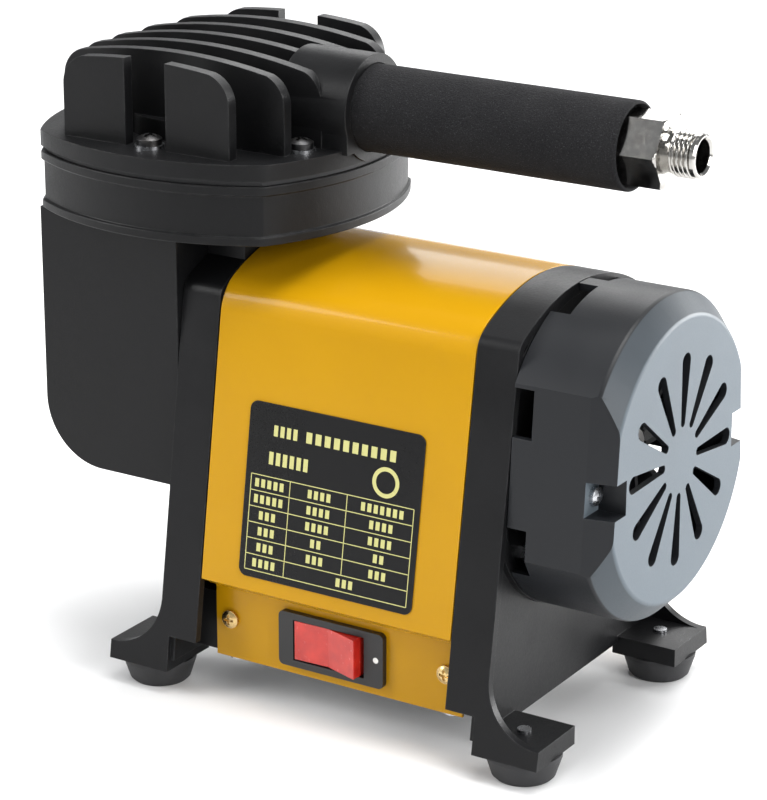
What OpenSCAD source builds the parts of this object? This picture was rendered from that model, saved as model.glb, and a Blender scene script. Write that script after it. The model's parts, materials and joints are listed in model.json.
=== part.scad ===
// Airbrush compressor: an induction motor between two cast end frames, with a
// diaphragm pump on the left and a fan cover on the right. The motor's shaft lies
// along X, the switch faces -Y, and the machine stands on rubber feet at Z = 0.

/* [Stance] */
// Distance between the feet along the shaft
foot_span_x = 125; // [124:0.5:126]
// Distance between the feet from front to back
foot_span_y = 82.5; // [82:0.5:83]
// Height of the motor shaft above the bench
shaft_z = 85.4; // [85:0.1:86]
// Height of a rubber foot below its lug
foot_h = 7.6; // [7:0.1:8]

/* [Motor cover] */
// Width of the sheet metal cover along the shaft
cover_w = 84.2; // [84:0.1:85]
// Thickness of the sheet metal
sheet_t = 1; // [0.8:0.1:1.2]
// Backward lean of the front panel, in degrees
lean = 8.6; // [8:0.1:9]
// Distance from the shaft's plane to the front panel's lower edge
lean_y = 47.9; // [47.5:0.1:48.2]
// Height of the front panel's lower edge
lean_z = 38.1; // [37.5:0.1:38.5]
// Height of the roof's crown
arch_top = 132.5; // [132:0.1:133]
// Radius of the roof
roof_r = 66; // [65:1:68]
// Radius of the bend between the front panel and the roof
cover_shoulder = 13; // [10:1:14]
// Distance from the shaft's plane to the recessed switch panel
skirt_y = 40.5; // [40:0.1:41]

/* [End frames] */
// Depth of the fan-side casting along the shaft
frame_depth = 13; // [12.8:0.1:13.2]
// Thickness of the casting's rim
rim_t = 2.4; // [2.2:0.1:2.8]
// Radius of the casting's shoulder
frame_shoulder = 5; // [4.5:0.5:6]
// Radius of the sweep from the frame's side to its foot lug
flare_r = 16.5; // [15:0.5:17]
// Thickness of a foot lug
lug_t = 5.6; // [5:0.1:6]

/* [Pump] */
// Distance from the motor's middle to the pump's axis
pump_offset = 63.8; // [63.5:0.1:64]
// Half the pump's width, from corner to corner
pump_half = 39.1; // [39:0.1:39.5]
// Bulge of each side of the pump beyond its corners
pump_bulge = 11.3; // [11:0.1:11.6]
// Throw of the eccentric: half of the diaphragm's travel
throw = 3; // [2.5:0.1:3]
// Height of the cylinder head's crown
head_top = 187.5; // [187:0.5:188]
// Spacing of the cooling fins
fin_pitch = 13; // [12.8:0.1:13.2]
// Thickness of a cooling fin
fin_t = 3.6; // [3:0.1:4]

/* [Handle and outlet] */
// Height of the handle's axis
handle_z = 172.4; // [172:0.1:173]
// Diameter of the foam grip
foam_d = 25.4; // [24.6:0.1:25.4]
// Major diameter of the outlet thread
thread_d = 13.16; // [13.16]
// Width of the outlet hexagon across its flats
hex_af = 19; // [17:0.5:20]

/* [Fan cover] */
// Radius of the fan cover's round sides
fan_cover_r = 47; // [46.5:0.1:47.2]
// Radius of the flat end face
face_r = 41; // [40:0.5:42]
// Number of vent slots
vent_count = 12; // [12]

/* [Hidden] */

$fn = 64;
eps = 0.01;
far = 200;

// The frame's origin is the middle of the machine's box, on the bench.
thread_end = 91;
pump_reach = pump_half + pump_bulge;
motor_x = (pump_offset + pump_reach - thread_end) / 2;

// End frames, measured from the motor's middle
frame_in = cover_w / 2 + 0.4;
frame_out = frame_in + frame_depth;
web_out = frame_out - 2;
web_in = web_out - 3;
web_low = 11;
leg_in = 52;
lug_out = 72.8;
lug_low = foot_h;
lug_high = foot_h + lug_t;
lug_depth = 21;
notch_z = 18.5;
neck_half = 23;

// Motor
bearing_r = 11;
bearing_w = 7;
bearing_bore = 4;
boss_r = 14.6;
stator_len = 44;
stator_r = 40.5;
stator_half = 36.6;
stator_bore = 21.2;
air_gap = 0.4;
slot_count = 12;
slot_r0 = 23.2;
slot_r1 = 31.6;
slot_w = 6.4;
tie_r = 36.4;
tie_angle = 45;
tie_bolt_r = 1.9;
tie_boss_r = 4.4;
shaft_left = -70.3;
shaft_right = 74;

// Screws
m3_head_r = 2.75;
m3_shank_r = 1.4;
screw_x = 36.8;
screw_z = 24;
tab_in = screw_x - 4;
tab_low = 12.7;
tab_high = 31;
tab_depth = 6;
skirt_low = tab_low - sheet_t;
skirt_high = 33.7;
plate_w = 58.4;
plate_h = 51.6;
plate_up = 30;
gland_x = 24;
gland_r = 4.6;

// Switch
switch_z = 23.2;
switch_x = -1;
bezel_w = 35.6;
bezel_h = 16.8;
bezel_t = 2;
switch_body_w = 31;
switch_body_h = 14.6;
switch_body_d = 17;
rocker_w = 23;
rocker_h = 12;
rocker_rest = -8;
rocker_shift = -0.7;
pivot_in = 1.2;

// Fan cover
cover_x0 = frame_out + 0.3;
cover_x1 = 81.4;
face_x = 87.4;
cover_wall = 2;
side_y = 40;
side_lean = 4.4;
side_bend_x = 79;
face_side = 38;
post_y = 35.2;
post_z = 84.6;
pocket_x = 79;
pocket_in = -32.3;
pocket_half = 5;
side_windows = [-27, 12.5];
side_window_h = 14;
window_d = 6;
vent_turn = 3;
fan_x0 = 57.5;
fan_x1 = 73;

// Pump, measured from the pump's axis
ring_z0 = 138.8;
ring_z1 = 156;
ring_bore = 30;
diaphragm_t = 1.4;
flange_z0 = ring_z1 + diaphragm_t;
flange_z1 = 162.2;
valve_z1 = 162;
seal_r = 28.7;
plateau_z = 168;
plateau_r = 31;
valve_r = 31;
chamber_r = 26.5;
chamber_h = 2.6;
head_bolts_at = [[0, -39], [0, 39], [-38.5, -19.5], [-38.5, 19.5], [38.5, -19.5], [38.5, 19.5]];
fin_inset = 6.9;
fin_corner = 9;
dome_r = 180;
fin_gap = 7;
end_fin_half = 28.8;
journal_r = 8;
rod_bearing_r = 11.5;
rod_ring_r = 14.5;
weight_r = 17;
rod_t = 8.4;
clamp_r = 19;
weight_x1 = 9.6;
washer_t = 0.9;
washer_r = 4.3;
ring_floor = 2.8;
rod_gap = 14;
filter_boss_r = 6;
filter_x = -20;
filter_y0 = 41.6;
filter_z = 167.6;
case_wall = 3;
case_left = -40.8;
case_right = pump_offset - frame_out - 0.3;
case_half = pump_half - 0.8;
case_low = 60.5;
case_corner = 20;
case_boss_r = 4.2;
case_mouth_r = 25.5;
case_screws = [[-31, 100], [31, 100], [-31, 71], [31, 71]];

// Handle
collar_r = 15.5;
collar_base = 14.4;
collar_x0 = -36;
collar_x1 = -13;
tube_r = 6;
tube_x0 = -30;
foam_x0 = collar_x1 - 4;
foam_x1 = 70.6;
foam_recess_r = 11.4;
hex_x0 = 67.2;
hex_x1 = 81.6;
tube_x1 = hex_x0 + 4.6;

// Arcs are this much larger, so that they cross the lines they blend into
blend = 0.02;
lean_dir = [sin(lean), cos(lean)];
lean_out = [-cos(lean), sin(lean)];
lean_ref = [-lean_y, lean_z];
roof_c = [0, arch_top - roof_r];

// Centre of the arc of radius r that joins the leaning panel to the roof
function shoulder_c(r) = let (
    base = lean_ref - r * lean_out,
    w = base - roof_c,
    b = w * lean_dir,
    c = w * w - (roof_r - r) * (roof_r - r)
  ) base + (-b + sqrt(b * b - c)) * lean_dir;

// Half depth of the leaning outline at height z, moved inwards by inset
function lean_half(z, inset) = lean_y + (lean_z - z) * tan(lean) - inset / cos(lean);

// Half length of a pump side's bulge at distance t from its middle, for fin lengths
function plan_half(t) = pump_half + pump_bulge * (1 - pow(t / pump_half, 2));

// ---- Placing ----

module at_motor() { translate([motor_x, 0, 0]) children(); }
module at_pump() { translate([motor_x - pump_offset, 0, 0]) children(); }
module at_shaft() { at_motor() translate([0, 0, shaft_z]) children(); }

// A drawing of (y, z) pushed along X from x0 to x1
module along_x(x0, x1) {
  translate([x0, 0, 0]) rotate([90, 0, 90]) linear_extrude(x1 - x0) children();
}

// A drawing of (x, z) pushed along Y from y0 to y1
module along_y(y0, y1) {
  translate([0, y1, 0]) rotate([90, 0, 0]) linear_extrude(y1 - y0) children();
}

// A round bar along X, and one along Y
module bar_x(r, x0, x1, y = 0, z = 0) {
  translate([x0, y, z]) rotate([0, 90, 0]) cylinder(r = r, h = x1 - x0);
}
module bar_y(r, y0, y1, x = 0, z = 0) {
  translate([x, y0, z]) rotate([-90, 0, 0]) cylinder(r = r, h = y1 - y0);
}

module block(x0, x1, y0, y1, z0, z1) {
  translate([x0, y0, z0]) cube([x1 - x0, y1 - y0, z1 - z0]);
}

// The same thing in front and behind
module both_sides() {
  children();
  mirror([0, 1, 0]) children();
}

module rounded_rect(w, h, r) {
  square([w - 2 * r, h], center = true);
  square([w, h - 2 * r], center = true);
  for (sx = [-1, 1], sy = [-1, 1])
    translate([sx * (w / 2 - r), sy * (h / 2 - r)]) circle(r = r);
}

// ---- Outlines ----

// End view of the motor housing: leaning sides, rounded shoulders and an arched roof
module arch(inset, shoulder, low) {
  c = shoulder_c(shoulder);
  side = c + (shoulder - inset) * lean_out;
  ray = (c - roof_c) / norm(c - roof_c) * far;
  foot = lean_half(low, inset);
  polygon([[-foot, low], side, c, [-c[0], c[1]], [-side[0], side[1]], [foot, low]]);
  for (s = [-1, 1]) translate([s * c[0], c[1]]) circle(r = shoulder - inset + blend, $fn = 96);
  intersection() {
    translate(roof_c) circle(r = roof_r - inset, $fn = 180);
    polygon([roof_c, roof_c + ray, [0, far + arch_top], roof_c + [-ray[0], ray[1]]]);
  }
}

// Plan of the pump: a square with four bulging sides
module pump_plan(inset) {
  side_r = (pump_half * pump_half + pump_bulge * pump_bulge) / (2 * pump_bulge);
  shift = side_r - pump_half - pump_bulge;
  intersection() {
    translate([shift, 0]) circle(r = side_r - inset, $fn = 180);
    translate([-shift, 0]) circle(r = side_r - inset, $fn = 180);
    translate([0, shift]) circle(r = side_r - inset, $fn = 180);
    translate([0, -shift]) circle(r = side_r - inset, $fn = 180);
  }
}

// Front view of the fan side's rim and leg: upright, swept out to the lug
module leg_side(top) {
  difference() {
    union() {
      translate([frame_in, notch_z]) square([frame_depth, top - notch_z]);
      translate([leg_in, lug_low]) square([lug_out - leg_in, lug_t]);
      translate([leg_in, lug_low]) square([frame_out - leg_in, notch_z - lug_low + eps]);
      translate([frame_out - 1, lug_high - 1]) square(flare_r + 0.5);
    }
    translate([frame_out + flare_r, lug_high + flare_r]) circle(r = flare_r + blend, $fn = 96);
  }
}

// ---- End frames ----

// Rim, legs, lugs, tabs and ledge that both castings share, drawn for the fan side
module frame_shell() {
  intersection() {
    along_x(frame_in, lug_out) difference() {
      arch(0, frame_shoulder, lug_low);
      arch(rim_t, frame_shoulder, lug_low - 1);
    }
    along_y(-far / 2, far / 2) leg_side(arch_top + 1);
  }
  intersection() {
    along_x(leg_in, lug_out) arch(0, frame_shoulder, lug_low);
    both_sides() block(leg_in, lug_out, -far, (lug_depth - foot_span_y) / 2, lug_low, lug_high);
  }
  both_sides()
    block(tab_in, leg_in + 1, sheet_t - skirt_y, sheet_t + tab_depth - skirt_y, tab_low, tab_high);
  along_x(frame_in - 4, frame_in + 1) difference() {
    arch(sheet_t + 0.1, cover_shoulder, lean_z + 4);
    arch(sheet_t + 2.2, cover_shoulder, lean_z + 3);
  }
  at_ties() bar_x(tie_boss_r, stator_len / 2, web_in);
}

// The four places of the long bolts, around the shaft
module at_ties() {
  for (a = [tie_angle : 90 : 359])
    translate([0, 0, shaft_z]) rotate([a, 0, 0]) translate([0, tie_r, 0]) children();
}

// Bearing pocket, shaft hole and screw holes that both castings share
module frame_holes(tie_end) {
  at_ties() bar_x(tie_bolt_r + 0.1, frame_in - far, tie_end);
  translate([0, 0, shaft_z]) {
    bar_x(bearing_r, frame_in - eps, frame_in + 1 + bearing_w);
    bar_x(bearing_bore + 1.2, frame_in, far);
  }
  both_sides() {
    bar_y(m3_shank_r, -skirt_y - 1, 9 - skirt_y, screw_x, screw_z);
    translate([screw_x, sheet_t + tab_depth / 2 - skirt_y, 0]) cylinder(r = m3_shank_r, h = 19.5);
    translate([foot_span_x / 2, -foot_span_y / 2, 0]) cylinder(r = 2.05, h = 30);
  }
}

module fan_frame() {
  color("#2e3033") at_motor() difference() {
    union() {
      frame_shell();
      along_x(web_in, web_out) arch(rim_t / 2, frame_shoulder, web_low);
      at_ties() bar_x(tie_boss_r, web_in - 1, web_out);
      intersection() {
        translate([0, 0, shaft_z]) difference() {
          bar_x(fan_cover_r + 0.3, web_in, frame_out);
          bar_x(fan_cover_r - 3.4, web_out, far);
        }
        along_x(web_in, frame_out) arch(0.5, frame_shoulder, web_low);
      }
      translate([0, 0, shaft_z]) bar_x(boss_r, frame_in + 1, web_out);
      both_sides() bar_x(4, frame_in + 2, web_out, post_y, post_z);
    }
    frame_holes(far);
    for (a = [0 : 60 : 359])
      translate([0, 0, shaft_z]) rotate([a, 0, 0]) bar_x(6.2, web_in - 1, frame_out + 1, 24.5, 0);
    both_sides() bar_x(m3_shank_r, frame_in + 4, far, post_y, post_z);
  }
}

module pump_frame() {
  color("#2e3033") at_motor() mirror([1, 0, 0]) difference() {
    union() {
      frame_shell();
      along_x(web_in, web_out) arch(rim_t / 2, frame_shoulder, web_low);
      at_ties() bar_x(tie_boss_r, web_in - 1, web_out);
      translate([0, 0, shaft_z]) bar_x(boss_r, frame_in + 1, web_out);
      block(frame_in, frame_out, -neck_half, neck_half, arch_top - 8, ring_z0);
    }
    frame_holes(web_out - 1);
    for (p = case_screws) bar_x(m3_shank_r + 0.1, 0, far, p[0], p[1]);
  }
}

// ---- Motor cover and what is on it ----

module motor_cover() {
  inner = lean_half(lean_z + 1, sheet_t);
  color("#e0a81e") at_motor() difference() {
    union() {
      along_x(-cover_w / 2, cover_w / 2) difference() {
        arch(0, cover_shoulder, lean_z);
        arch(sheet_t, cover_shoulder, lean_z - 1);
      }
      for (s = [-1, 1])
        along_x(-cover_w / 2, cover_w / 2) polygon([
          [s * lean_y, lean_z], [s * skirt_y, skirt_high], [s * skirt_y, skirt_low],
          [s * (skirt_y - sheet_t), skirt_low], [s * (skirt_y - sheet_t), skirt_high + 0.6],
          [s * inner, lean_z + 1], [s * lean_half(lean_z + 1, sheet_t / 4), lean_z + 1]
        ]);
    }
    translate([switch_x, 0, switch_z])
      block(-switch_body_w / 2 - 0.2, switch_body_w / 2 + 0.2, -far, 0,
            -switch_body_h / 2 - 0.2, switch_body_h / 2 + 0.2);
    for (sx = [-1, 1]) bar_y(1.6, -far, far, sx * screw_x, screw_z);
    bar_y(gland_r, 0, far, gland_x, screw_z);
  }
}

// A pan head screw along +Z, with its head above Z = 0 and a cross recess
module pan_screw(head_r, head_h, shank_r, len) {
  difference() {
    union() {
      cylinder(r = head_r, h = head_h * 0.55);
      intersection() {
        translate([0, 0, head_h - head_r * 1.6]) sphere(r = head_r * 1.6);
        cylinder(r = head_r, h = head_h);
      }
    }
    for (a = [0, 90])
      rotate([0, 0, a]) translate([0, 0, head_h])
        cube([head_r * 1.15, head_r * 0.28, head_h * 0.9], center = true);
  }
  translate([0, 0, -len]) cylinder(r = shank_r, h = len + eps);
}

module cover_screws() {
  color("#c9a850") at_motor() both_sides() for (sx = [-1, 1])
    translate([sx * screw_x, -skirt_y, screw_z]) rotate([90, 0, 0])
      pan_screw(m3_head_r, 1.9, m3_shank_r, 6);
}

module data_plate() {
  color("#1c1c1e") at_motor() translate([0, -lean_y, lean_z]) rotate([-lean, 0, 0])
    along_y(-0.4, 0) translate([0, plate_up]) rounded_rect(plate_w, plate_h, 2.6);
}

module at_switch() { at_motor() translate([switch_x, -skirt_y, switch_z]) children(); }

module switch_housing() {
  color("#1b1b1c") at_switch() difference() {
    union() {
      along_y(-bezel_t, 0) rounded_rect(bezel_w, bezel_h, 1.6);
      block(-switch_body_w / 2, switch_body_w / 2, -eps, switch_body_d,
            -switch_body_h / 2, switch_body_h / 2);
    }
    block(rocker_shift - rocker_w / 2 - 0.6, rocker_shift + rocker_w / 2 + 0.6,
          -far, switch_body_d - 6, -rocker_h / 2 - 0.3, rocker_h / 2 + 0.3);
    translate([rocker_shift, pivot_in, -rocker_h / 2 - 1]) cylinder(r = 1.25, h = rocker_h + 2);
  }
}

module switch_rocker() {
  half = rocker_w / 2 - 0.3;
  color("#b3201c") at_switch() translate([rocker_shift, pivot_in, 0]) rotate([0, 0, rocker_rest]) {
    translate([0, 0, -rocker_h / 2]) linear_extrude(rocker_h)
      polygon([[-half, -4.6], [0, -2.6], [half, -4.6], [half - 0.6, 1.5], [5, 3.2],
               [-5, 3.2], [0.6 - half, 1.5]]);
    translate([0, 0, -rocker_h / 2 - 0.9]) cylinder(r = 1.2, h = rocker_h + 1.8);
  }
}

module switch_terminals() {
  color("#c9b27a") at_switch() for (i = [-1 : 1])
    block(i * 9 - 0.4, i * 9 + 0.4, switch_body_d, switch_body_d + 8, -2.4, 2.4);
}

module cord_gland() {
  color("#202124") at_motor() translate([gland_x, skirt_y, screw_z]) difference() {
    union() {
      bar_y(gland_r + 2.6, 0, 2.6);
      bar_y(gland_r - 0.1, -sheet_t - eps, eps);
      bar_y(gland_r + 1.8, -sheet_t - 2.2, -sheet_t);
    }
    bar_y(3.3, -far, far);
  }
}

module base_plate() {
  color("#8c8f93") at_motor() difference() {
    block(-cover_w / 2 + 0.6, cover_w / 2 - 0.6, sheet_t + 0.2 - skirt_y, skirt_y - sheet_t - 0.2,
          skirt_low, tab_low);
    for (sx = [-1, 1]) both_sides()
      translate([sx * screw_x, sheet_t + tab_depth / 2 - skirt_y, 0]) cylinder(r = 1.6, h = far);
    for (i = [-3 : 3]) block(i * 8 - 1.5, i * 8 + 1.5, -18, 18, 0, far);
  }
}

module base_plate_screws() {
  color("#9a9da1") at_motor() for (sx = [-1, 1]) both_sides()
    translate([sx * screw_x, sheet_t + tab_depth / 2 - skirt_y, skirt_low]) rotate([180, 0, 0])
      pan_screw(m3_head_r, 1.9, m3_shank_r, 7);
}

// ---- Feet ----

module at_foot(sx, sy) {
  at_motor() translate([sx * foot_span_x / 2, sy * foot_span_y / 2, 0]) children();
}

module foot(sx, sy) {
  color("#2a2b2d") at_foot(sx, sy) rotate_extrude()
    polygon([[2.05, 3], [4.6, 3], [4.6, 0], [8.3, 0], [9.1, 0.8], [10.9, foot_h - 1.2],
             [10.9, foot_h], [2.05, foot_h]]);
}
module foot_front_left() { foot(-1, -1); }
module foot_front_right() { foot(1, -1); }
module foot_rear_left() { foot(-1, 1); }
module foot_rear_right() { foot(1, 1); }

module foot_screws() {
  color("#b9bcc0") for (sx = [-1, 1], sy = [-1, 1]) at_foot(sx, sy)
    translate([0, 0, 3]) rotate([180, 0, 0]) pan_screw(3.8, 2.4, 2, lug_high - 3 + 0.8);
}

// ---- Motor ----

module stator_core() {
  color("#8f9296") at_shaft() difference() {
    intersection() {
      bar_x(stator_r, -stator_len / 2, stator_len / 2);
      block(-far, far, -stator_half, stator_half, -stator_half, stator_half);
    }
    bar_x(stator_bore, -far, far);
    for (i = [0 : slot_count - 1]) rotate([i * 360 / slot_count, 0, 0]) {
      block(-far, far, slot_r0, slot_r1, -slot_w / 2, slot_w / 2);
      block(-far, far, stator_bore - 2, slot_r0 + 1, -1.1, 1.1);
    }
    translate([0, 0, -shaft_z]) at_ties() bar_x(tie_bolt_r + 0.1, -far, far);
  }
}

module stator_windings() {
  turn_h = 9.5;
  end = stator_len / 2 + 0.3;
  color("#b4642c") at_shaft() {
    for (s = [0, 1]) mirror([s, 0, 0]) translate([end, 0, 0]) rotate([0, 90, 0]) rotate_extrude()
      translate([(slot_r0 + slot_r1) / 2, turn_h / 2]) rounded_rect(slot_r1 - slot_r0 - 1, turn_h, 2.6);
    for (i = [0 : slot_count - 1]) rotate([i * 360 / slot_count, 0, 0])
      block(-end - 3, end + 3, slot_r0 + 0.6, slot_r1 - 0.6, -slot_w / 2 + 0.5, slot_w / 2 - 0.5);
  }
}

module rotor_core() {
  rotor_r = stator_bore - air_gap;
  color("#a2a5a8") at_shaft() difference() {
    union() {
      bar_x(rotor_r, -stator_len / 2 - 0.5, stator_len / 2 + 0.5);
      bar_x(rotor_r - 1.2, -stator_len / 2 - 5, stator_len / 2 + 5);
    }
    bar_x(bearing_bore + 1, -far, far);
    for (s = [0, 1]) mirror([s, 0, 0]) bar_x(11, stator_len / 2 + 0.5, far);
  }
}

module motor_shaft() {
  color("#c3c6c9") at_shaft() {
    bar_x(bearing_bore, shaft_left, shaft_right);
    bar_x(bearing_bore + 1, -stator_len / 2 - 10, stator_len / 2 + 10);
  }
}

module tie_bolts() {
  color("#b9bcc0") at_motor() at_ties() {
    bar_x(tie_bolt_r, 2 - web_out, web_out);
    translate([web_out, 0, 0]) rotate([0, 90, 0]) cylinder(r = 3.4, h = 2.6, $fn = 6);
  }
}

// Both bearings: s is 1 at the fan and -1 at the pump
module at_bearing(s) {
  at_shaft() mirror([s < 0 ? 1 : 0, 0, 0]) translate([frame_in + 1, 0, 0]) children();
}

module bearing_outer(s) {
  color("#c3c6c9") at_bearing(s) difference() {
    bar_x(bearing_r, 0, bearing_w);
    bar_x(bearing_r - 1.57, -1, far);
  }
}
module fan_end_bearing() { bearing_outer(1); }
module pump_end_bearing() { bearing_outer(-1); }

module bearing_inner_races() {
  color("#c3c6c9") for (s = [-1, 1]) at_bearing(s) difference() {
    bar_x(bearing_bore + 1.6, 0, bearing_w);
    bar_x(bearing_bore, -1, far);
  }
}

module bearing_balls() {
  ball_r = 1.9;
  color("#d0d2d4") for (s = [-1, 1], i = [0 : 7]) at_bearing(s)
    rotate([i * 45, 0, 0]) translate([bearing_w / 2, bearing_bore + 1.6 + ball_r, 0])
      sphere(r = ball_r);
}

// ---- Fan ----

module cooling_fan() {
  fan_r = 29.5;
  color("#3a3d42") at_shaft() difference() {
    union() {
      bar_x(8, fan_x0, fan_x1 - 1);
      bar_x(fan_r, fan_x0, fan_x0 + 1.6);
      for (i = [0 : 8]) rotate([i * 40, 0, 0])
        block(fan_x0 + 1, fan_x1, 7, fan_r - 0.5, -0.8, 0.8);
    }
    bar_x(bearing_bore, -far, far);
  }
}

module fan_clip() {
  color("#6d7074") at_shaft() difference() {
    bar_x(6.2, fan_x1 - 1, fan_x1 - 0.1);
    bar_x(bearing_bore, -far, far);
    block(fan_x1 - 2, fan_x1 + 1, 2, far, -1.2, 1.2);
  }
}

// One leaning side of the fan cover, drawn as everything behind it
module fan_cover_side(inset) {
  rotate([-side_lean, 0, 0]) translate([0, 0, -far / 2]) linear_extrude(far)
    polygon([[0, inset - side_y], [side_bend_x, inset - side_y], [face_x, inset - face_side],
             [far, inset - face_side], [far, far], [0, far]]);
}

// Solid of the fan cover, with its chamfered end and leaning sides, shrunk by inset
module fan_cover_body(inset) {
  r = fan_cover_r - inset;
  intersection() {
    rotate([0, 90, 0]) rotate_extrude()
      polygon([[0, cover_x0 - inset], [r, cover_x0 - inset], [r, cover_x1 - inset / 3],
               [face_r - inset, face_x - inset], [0, face_x - inset]]);
    fan_cover_side(inset);
    mirror([0, 1, 0]) fan_cover_side(inset);
  }
}

// One vent: a slot that widens outwards
module vent_slot() {
  r0 = 10.8;
  r1 = 28.4;
  w0 = 1.2;
  w1 = 2.5;
  translate([0, r0]) circle(r = w0, $fn = 24);
  translate([0, r1]) circle(r = w1, $fn = 32);
  polygon([[-w0, r0], [w0, r0], [w1, r1], [-w1, r1]]);
}

module fan_cover() {
  color("#5d626a") at_shaft() difference() {
    union() {
      difference() {
        fan_cover_body(0);
        fan_cover_body(cover_wall);
      }
      both_sides() intersection() {
        union() {
          bar_x(4, cover_x0, pocket_x, -post_y, post_z - shaft_z);
          block(pocket_x - 2, face_x, -side_y, pocket_in + 1.3, post_z - shaft_z - pocket_half - 1.4,
                post_z - shaft_z + pocket_half + 1.4);
        }
        fan_cover_body(0.5);
      }
    }
    for (i = [0 : vent_count - 1])
      along_x(face_x - 4, face_x + 1) rotate(-i * 360 / vent_count - vent_turn) vent_slot();
    both_sides() {
      block(pocket_x, far, -far, pocket_in, post_z - shaft_z - pocket_half,
            post_z - shaft_z + pocket_half);
      bar_x(m3_shank_r + 0.2, 0, far, -post_y, post_z - shaft_z);
      for (z = side_windows)
        block(cover_x0 - 1, cover_x0 + window_d, -far, -30, z, z + side_window_h);
      block(cover_x0 - 1, cover_x0 + window_d, -19, -3, 30, far);
    }
  }
}

module fan_cover_screws() {
  color("#9a9da1") at_motor() both_sides() translate([pocket_x, -post_y, post_z])
    rotate([0, 90, 0]) pan_screw(m3_head_r, 2.2, m3_shank_r, pocket_x - frame_in - 5);
}

// ---- Crankcase and crank ----

// Front view of the crankcase, with one rounded lower corner
module case_side(inset) {
  r = case_corner - inset;
  left = case_left + inset;
  low = case_low + inset;
  high = ring_z0 - inset;
  translate([left + r, low]) square([case_right - inset - left - r, high - low]);
  translate([left, low + r]) square([r + eps, high - low - r]);
  translate([left + r, low + r]) circle(r = r, $fn = 96);
}

// The crankcase without its openings, shrunk by inset
module case_body(inset) {
  along_y(inset - case_half, case_half - inset) case_side(inset);
}

module crankcase() {
  color("#34363a") difference() {
    union() {
      at_pump() difference() {
        case_body(0);
        case_body(case_wall);
      }
      at_motor() for (p = case_screws)
        bar_x(case_boss_r, -web_out - 12, -web_out - 0.3, p[0], p[1]);
    }
    at_pump() block(-rod_gap, case_right - case_wall, -rod_gap, rod_gap, ring_z0 - 10, far);
    at_shaft() bar_x(case_mouth_r, -frame_out - case_wall - 1, 0);
    at_motor() for (p = case_screws) bar_x(m3_shank_r, -web_out - 8, 0, p[0], p[1]);
  }
}

module crankcase_screws() {
  color("#9a9da1") at_motor() for (p = case_screws)
    translate([-web_in, p[0], p[1]]) rotate([0, 90, 0]) pan_screw(m3_head_r, 2, m3_shank_r, 9);
}

module at_crank() { at_pump() translate([0, 0, shaft_z]) children(); }

module eccentric() {
  color("#9b7b45") at_crank() difference() {
    union() {
      bar_x(journal_r, -rod_t / 2 - 0.6, rod_t / 2 + 0.8, 0, throw);
      bar_x(9, rod_t / 2 + 0.7, weight_x1);
      intersection() {
        bar_x(weight_r, rod_t / 2 + 0.7, weight_x1);
        block(-far, far, -far, far, -far, 0);
      }
    }
    bar_x(bearing_bore, -far, far);
    translate([(rod_t / 2 + weight_x1) / 2, 0, -far]) cylinder(r = 1.5, h = far);
  }
}

module eccentric_grub_screw() {
  color("#6d7074") at_crank() translate([(rod_t / 2 + weight_x1) / 2, 0, -bearing_bore - 6])
    difference() {
      cylinder(r = 1.5, h = 6);
      translate([0, 0, -eps]) cylinder(r = 0.8, h = 2, $fn = 6);
    }
}

module connecting_rod() {
  color("#b5b8bb") at_pump() {
    difference() {
      union() {
        bar_x(rod_ring_r, -rod_t / 2, rod_t / 2, 0, shaft_z + throw);
        block(-rod_t / 2 + 0.8, rod_t / 2 - 0.8, -5, 5, shaft_z + throw + rod_bearing_r + 1,
              ring_z1 - 6);
        translate([0, 0, ring_z1 - 7]) cylinder(r = 8, h = 5);
      }
      bar_x(rod_bearing_r, -far, far, 0, shaft_z + throw);
      translate([0, 0, ring_z1 - 15]) cylinder(r = 2, h = far);
    }
  }
}

module rod_bearing() {
  color("#c3c6c9") at_pump() difference() {
    bar_x(rod_bearing_r, 0.2 - rod_t / 2, rod_t / 2 - 0.2, 0, shaft_z + throw);
    bar_x(journal_r + 0.05, -far, far, 0, shaft_z + throw);
  }
}

// ---- Diaphragm, valves and head ----

// A flat disc on the pump's axis with a round hole
module disc(r, hole_r, z0, z1) {
  at_pump() translate([0, 0, z0]) difference() {
    cylinder(r = r, h = z1 - z0);
    translate([0, 0, -1]) cylinder(r = hole_r, h = z1 - z0 + 2);
  }
}

module at_head_bolts() {
  at_pump() for (p = head_bolts_at) translate(p) children();
}

module diaphragm_lower_plate() { color("#b5b8bb") disc(clamp_r, 2.1, ring_z1 - 2, ring_z1); }

module diaphragm() {
  color("#161617") difference() {
    at_pump() translate([0, 0, ring_z1]) linear_extrude(diaphragm_t) pump_plan(1.3);
    at_pump() cylinder(r = 2.1, h = far);
    at_head_bolts() cylinder(r = 2.2, h = far);
  }
}

module diaphragm_upper_plate() {
  color("#b5b8bb") difference() {
    disc(clamp_r, 2.1, flange_z0, flange_z0 + 1.5);
    at_pump() translate([0, 0, flange_z0 + 0.4]) cylinder(r = 3.7, h = far);
  }
}

module diaphragm_screw() {
  color("#9a9da1") at_pump() difference() {
    union() {
      translate([0, 0, flange_z0 + 0.4]) cylinder(r = 3.6, h = 1.1);
      translate([0, 0, ring_z1 - 14]) cylinder(r = 1.98, h = 16);
    }
    for (a = [0, 90]) rotate([0, 0, a])
      translate([-2, -0.4, flange_z0 + 0.9]) cube([4, 0.8, 2]);
  }
}

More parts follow.
